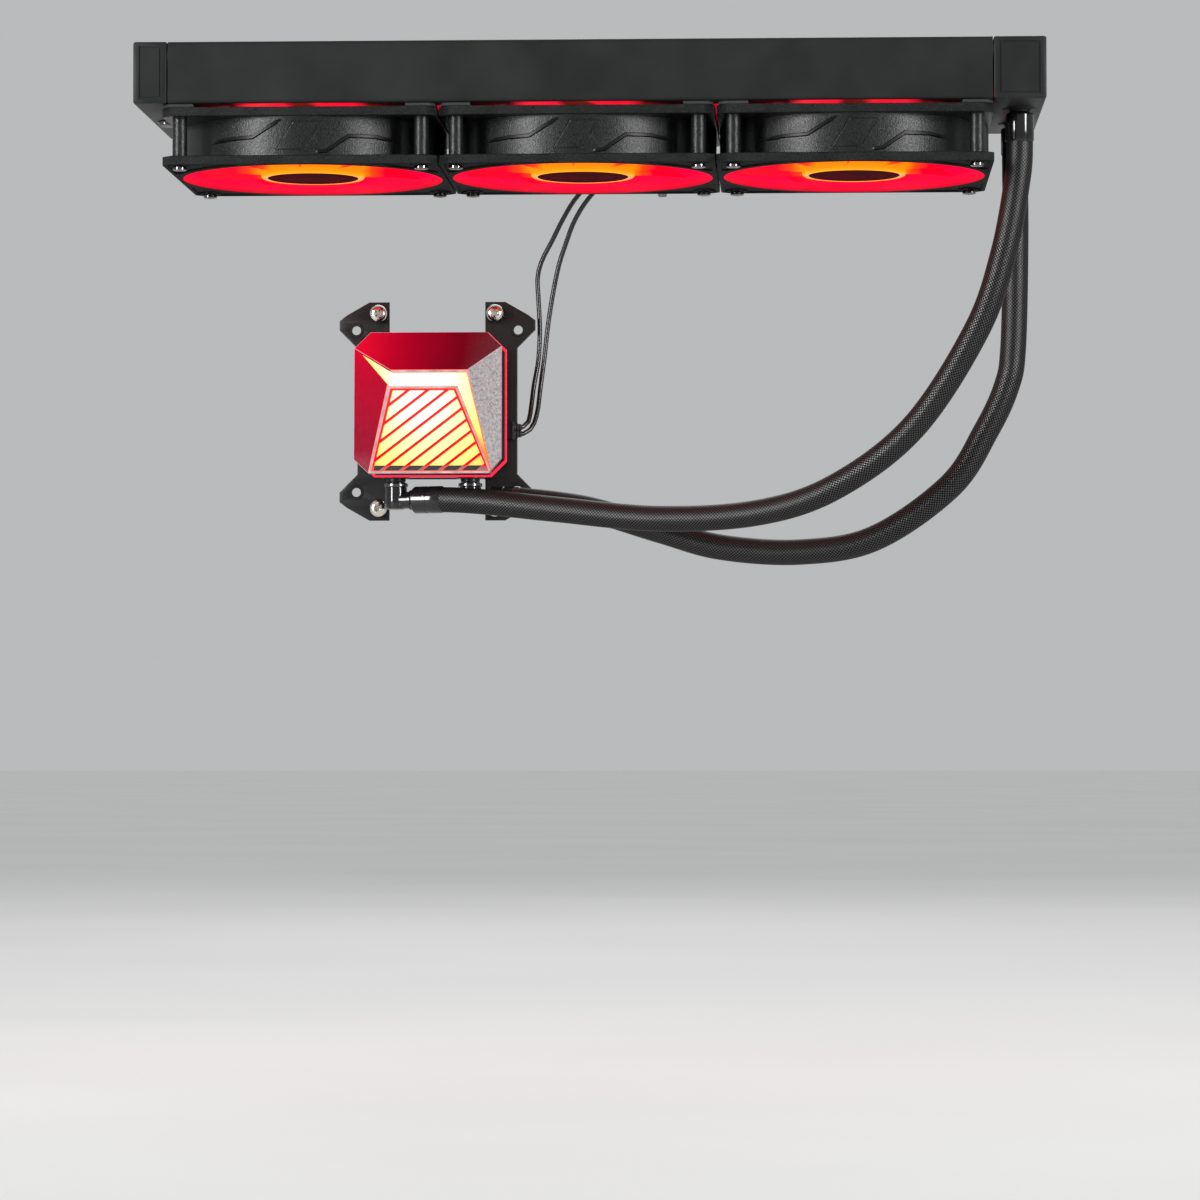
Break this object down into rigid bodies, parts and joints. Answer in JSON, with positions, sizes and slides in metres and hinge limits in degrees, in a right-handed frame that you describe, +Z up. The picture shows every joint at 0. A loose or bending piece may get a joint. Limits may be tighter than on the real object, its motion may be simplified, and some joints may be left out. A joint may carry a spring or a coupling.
{
  "type": "liquid cooling radiator",
  "caption": "Sealed-loop processor cooler: slim finned radiator with lit fans under it, braided hoses and a square pump head with a glowing slatted window.",
  "frame": {"origin": "middle of the screw pattern on the radiator's top plane, where it hangs from the case roof", "axes": "+X along the radiator towards the tank with the hose ports, +Y back towards the motherboard, +Z up"},
  "size_m": [0.394, 0.166, 0.2232],
  "materials": {
    "radiator_paint": "aluminium with satin black stove paint",
    "core_finish": "brazed aluminium with thin black paint",
    "plug_finish": "blackened",
    "fan_plastic": "fine spark-eroded texture",
    "blade_plastic": "milky translucent, lit red from the hub",
    "motor_steel": "plain",
    "bearing_bronze": "sintered",
    "stator_finish": "varnished copper wire",
    "screw_finish": "bright zinc",
    "copper": "machined copper",
    "seal_rubber": "matt",
    "housing_plastic": "fine texture",
    "impeller_plastic": "moulded",
    "shaft_steel": "ground",
    "board_finish": "solder resist",
    "light_guide_plastic": "translucent, lit from behind",
    "cap_finish": "dark brushed",
    "bracket_paint": "black powder coat",
    "bracket_screw_finish": "bright nickel",
    "elbow_plastic": "moulded",
    "braid": "tight braided sleeve",
    "ferrule": "glossy black",
    "lead_finish": "satin",
    "plug_plastic": "moulded",
    "tie_finish": "moulded clip"
  },
  "bodies": {
    "cooler": {"left_tank": "radiator_paint", "right_tank": "radiator_paint", "front_rail": "radiator_paint", "rear_rail": "radiator_paint", "radiator_core": "core_finish", "fill_plug": "plug_finish", "fan_1_frame": "fan_plastic", "fan_1_bearing": "bearing_bronze", "fan_1_stator": "stator_finish", "fan_1_screw_1": "screw_finish", "fan_1_screw_2": "screw_finish", "fan_1_screw_3": "screw_finish", "fan_1_screw_4": "screw_finish", "fan_2_frame": "fan_plastic", "fan_2_bearing": "bearing_bronze", "fan_2_stator": "stator_finish", "fan_2_screw_1": "screw_finish", "fan_2_screw_2": "screw_finish", "fan_2_screw_3": "screw_finish", "fan_2_screw_4": "screw_finish", "fan_3_frame": "fan_plastic", "fan_3_bearing": "bearing_bronze", "fan_3_stator": "stator_finish", "fan_3_screw_1": "screw_finish", "fan_3_screw_2": "screw_finish", "fan_3_screw_3": "screw_finish", "fan_3_screw_4": "screw_finish", "cold_plate": "copper", "plate_seal": "seal_rubber", "pump_housing": "housing_plastic", "impeller_shaft": "shaft_steel", "pump_stator": "stator_finish", "pump_board": "board_finish", "light_guide": "light_guide_plastic", "pump_cap": "cap_finish", "mounting_bracket": "bracket_paint", "bracket_screw_1": "bracket_screw_finish", "bracket_screw_2": "bracket_screw_finish", "bracket_screw_3": "bracket_screw_finish", "bracket_screw_4": "bracket_screw_finish", "front_elbow": "elbow_plastic", "front_hose": "braid", "front_hose_tank_ferrule": "ferrule", "front_hose_pump_ferrule": "ferrule", "rear_elbow": "elbow_plastic", "rear_hose": "braid", "rear_hose_tank_ferrule": "ferrule", "rear_hose_pump_ferrule": "ferrule", "pump_lead": "lead_finish", "light_lead": "lead_finish", "pump_plug": "plug_plastic", "light_plug": "plug_plastic", "lead_tie": "tie_finish"},
    "fan_1_wheel": {"fan_1_rotor": "blade_plastic", "fan_1_yoke": "motor_steel"},
    "fan_2_wheel": {"fan_2_rotor": "blade_plastic", "fan_2_yoke": "motor_steel"},
    "fan_3_wheel": {"fan_3_rotor": "blade_plastic", "fan_3_yoke": "motor_steel"},
    "pump_wheel": {"impeller": "impeller_plastic"}
  },
  "joints": [
    {"name": "fan_1_spin", "type": "hinge", "parent": "cooler", "child": "fan_1_wheel", "pos_m": [-0.12, 0, -0.041], "axis": [0, 0, 1], "continuous": true},
    {"name": "fan_2_spin", "type": "hinge", "parent": "cooler", "child": "fan_2_wheel", "pos_m": [0, 0, -0.041], "axis": [0, 0, 1], "continuous": true},
    {"name": "fan_3_spin", "type": "hinge", "parent": "cooler", "child": "fan_3_wheel", "pos_m": [0.12, 0, -0.041], "axis": [0, 0, 1], "continuous": true},
    {"name": "impeller_spin", "type": "hinge", "parent": "cooler", "child": "pump_wheel", "pos_m": [-0.0718, 0.09, -0.15], "axis": [0, -1, 0], "continuous": true}
  ]
}
